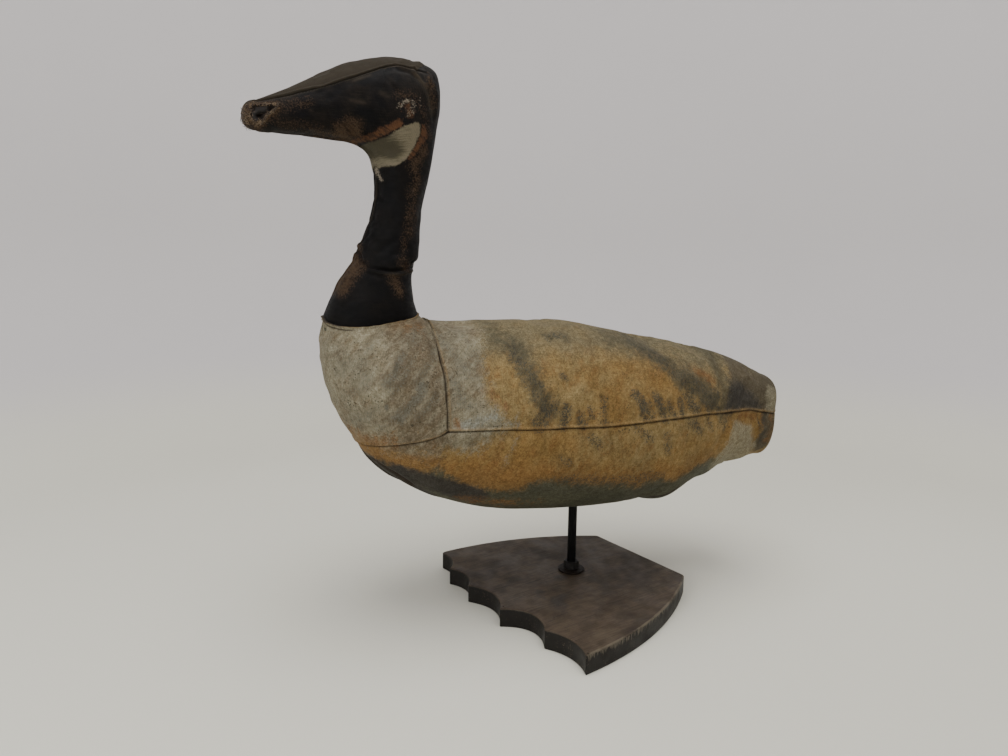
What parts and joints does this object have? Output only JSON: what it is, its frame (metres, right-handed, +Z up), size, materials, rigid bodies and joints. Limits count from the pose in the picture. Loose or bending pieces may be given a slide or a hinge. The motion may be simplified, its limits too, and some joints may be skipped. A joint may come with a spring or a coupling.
{
  "type": "canvas goose decoy on a foot-shaped stand",
  "caption": "Stuffed, painted canvas goose decoy with an upright black neck, standing on a black rod and a dark board cut like a webbed foot.",
  "frame": {"origin": "on the rod's axis at the underside of the board, where the stand rests", "axes": "+Z up along the rod, the goose faces -X, +Y to the goose's right"},
  "size_m": [0.5446, 0.2661, 0.5311],
  "materials": {
    "painted_canvas": "worn matt paint on canvas: grey-white breast, ochre flanks, grey-green back, dark tail and belly",
    "black_canvas": "worn black-brown paint on canvas, slightly waxy",
    "stained_wood": "dark brown stain, mottled and worn at the edges",
    "black_steel": "black, satin"
  },
  "bodies": {
    "root": {"goose_body": "painted_canvas", "goose_head_and_neck": "black_canvas", "stand_base": "stained_wood", "stand_rod": "black_steel", "rod_nut": "black_steel", "rod_washer": "black_steel"}
  },
  "joints": []
}
